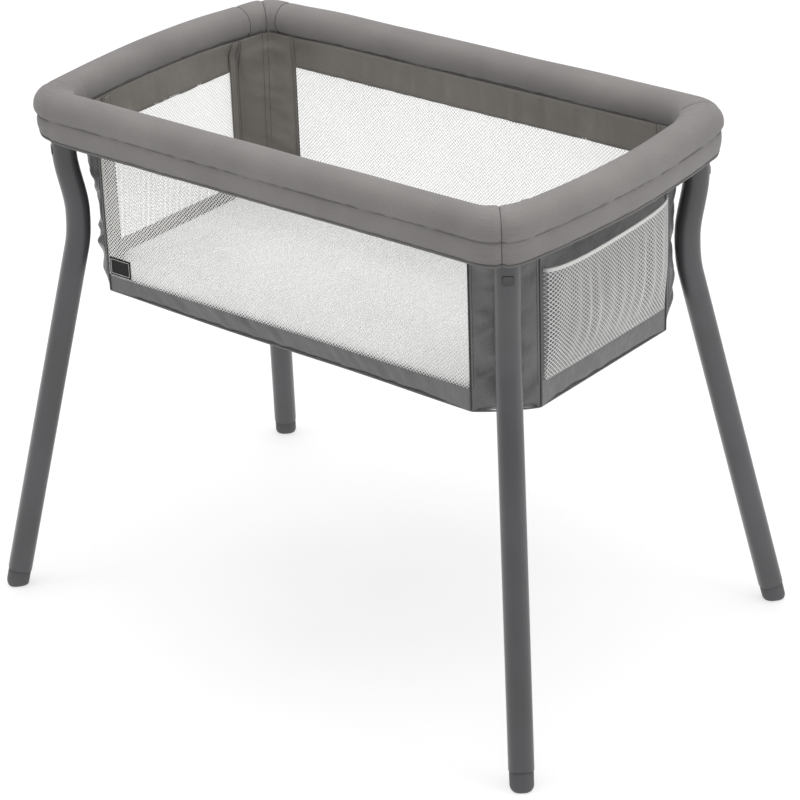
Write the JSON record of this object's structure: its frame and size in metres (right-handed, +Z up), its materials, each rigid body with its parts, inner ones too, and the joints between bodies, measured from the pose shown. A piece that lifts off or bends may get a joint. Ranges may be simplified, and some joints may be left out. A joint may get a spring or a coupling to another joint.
{
  "type": "bassinet on stand",
  "caption": "Oblong bassinet: padded fabric rail, net-walled hanging basket with mattress and end pocket, on splayed bent tube legs that unplug.",
  "frame": {"origin": "on the floor, at the centre of the four feet's footprint, under the middle of the basket", "axes": "+Z up, +X along the length towards the end with the pocket, +Y across towards the back"},
  "size_m": [0.9934, 0.6644, 0.7962],
  "materials": {
    "rail_steel": "zinc plated",
    "bracket_nylon": "moulded, fine texture",
    "cover_polyester": "plain woven polyester, padded",
    "lining_taffeta": "dull taffeta lining",
    "window_net": "warp-knitted net",
    "base_fibreboard": "grey laminated fibreboard",
    "mattress_jersey": "knitted jersey over foam",
    "leg_paint": "satin powder coat",
    "foot_rubber": "moulded",
    "fastener_steel": "zinc plated",
    "button_nylon": "moulded, satin",
    "label_tape": "plain woven patch"
  },
  "bodies": {
    "frame": {"rail_front": "rail_steel", "rail_back": "rail_steel", "rail_left": "rail_steel", "rail_right": "rail_steel", "corner_bracket_front_left": "bracket_nylon", "corner_bracket_front_right": "bracket_nylon", "corner_bracket_back_left": "bracket_nylon", "corner_bracket_back_right": "bracket_nylon", "rail_cover_front": "cover_polyester", "rail_cover_back": "cover_polyester", "rail_cover_left": "cover_polyester", "rail_cover_right": "cover_polyester", "rail_cover_corner_front_left": "cover_polyester", "rail_cover_corner_front_right": "cover_polyester", "rail_cover_corner_back_left": "cover_polyester", "rail_cover_corner_back_right": "cover_polyester", "top_band_front": "lining_taffeta", "top_band_back": "lining_taffeta", "top_band_left": "lining_taffeta", "top_band_right": "lining_taffeta", "mesh_front": "window_net", "mesh_back": "window_net", "mesh_left": "window_net", "end_panel_right": "lining_taffeta", "bottom_band_front": "lining_taffeta", "bottom_band_back": "lining_taffeta", "bottom_band_left": "lining_taffeta", "bottom_band_right": "lining_taffeta", "corner_panel_front_left": "lining_taffeta", "corner_panel_front_right": "lining_taffeta", "corner_panel_back_left": "lining_taffeta", "corner_panel_back_right": "lining_taffeta", "basket_floor": "lining_taffeta", "base_board": "base_fibreboard", "pocket_net": "window_net", "label": "label_tape"},
    "mattress": {"mattress": "mattress_jersey"},
    "leg_front_left": {"leg_front_left": "leg_paint", "foot_front_left": "foot_rubber", "foot_screw_front_left": "fastener_steel", "button_spring_front_left": "fastener_steel"},
    "button_front_left": {"leg_button_front_left": "button_nylon"},
    "leg_front_right": {"leg_front_right": "leg_paint", "foot_front_right": "foot_rubber", "foot_screw_front_right": "fastener_steel", "button_spring_front_right": "fastener_steel"},
    "button_front_right": {"leg_button_front_right": "button_nylon"},
    "leg_back_left": {"leg_back_left": "leg_paint", "foot_back_left": "foot_rubber", "foot_screw_back_left": "fastener_steel", "button_spring_back_left": "fastener_steel"},
    "button_back_left": {"leg_button_back_left": "button_nylon"},
    "leg_back_right": {"leg_back_right": "leg_paint", "foot_back_right": "foot_rubber", "foot_screw_back_right": "fastener_steel", "button_spring_back_right": "fastener_steel"},
    "button_back_right": {"leg_button_back_right": "button_nylon"}
  },
  "joints": [
    {"name": "mattress_lift", "type": "slide", "parent": "frame", "child": "mattress", "axis": [0, 0, 1], "range_m": [0, 0.35]},
    {"name": "leg_pull_front_left", "type": "slide", "parent": "frame", "child": "leg_front_left", "axis": [0, 0, -1], "range_m": [0, 0.1]},
    {"name": "button_press_front_left", "type": "slide", "parent": "leg_front_left", "child": "button_front_left", "axis": [0.6494, 0.7604, 0], "range_m": [0, 0.0035], "stiffness_N_per_m": 600, "springref_m": -0.002, "deforming": ["button_spring_front_left"]},
    {"name": "leg_pull_front_right", "type": "slide", "parent": "frame", "child": "leg_front_right", "axis": [0, 0, -1], "range_m": [0, 0.1]},
    {"name": "button_press_front_right", "type": "slide", "parent": "leg_front_right", "child": "button_front_right", "axis": [-0.6494, 0.7604, 0], "range_m": [0, 0.0035], "stiffness_N_per_m": 600, "springref_m": -0.002, "deforming": ["button_spring_front_right"]},
    {"name": "leg_pull_back_left", "type": "slide", "parent": "frame", "child": "leg_back_left", "axis": [0, 0, -1], "range_m": [0, 0.1]},
    {"name": "button_press_back_left", "type": "slide", "parent": "leg_back_left", "child": "button_back_left", "axis": [0.6494, -0.7604, 0], "range_m": [0, 0.0035], "stiffness_N_per_m": 600, "springref_m": -0.002, "deforming": ["button_spring_back_left"]},
    {"name": "leg_pull_back_right", "type": "slide", "parent": "frame", "child": "leg_back_right", "axis": [0, 0, -1], "range_m": [0, 0.1]},
    {"name": "button_press_back_right", "type": "slide", "parent": "leg_back_right", "child": "button_back_right", "axis": [-0.6494, -0.7604, 0], "range_m": [0, 0.0035], "stiffness_N_per_m": 600, "springref_m": -0.002, "deforming": ["button_spring_back_right"]}
  ]
}
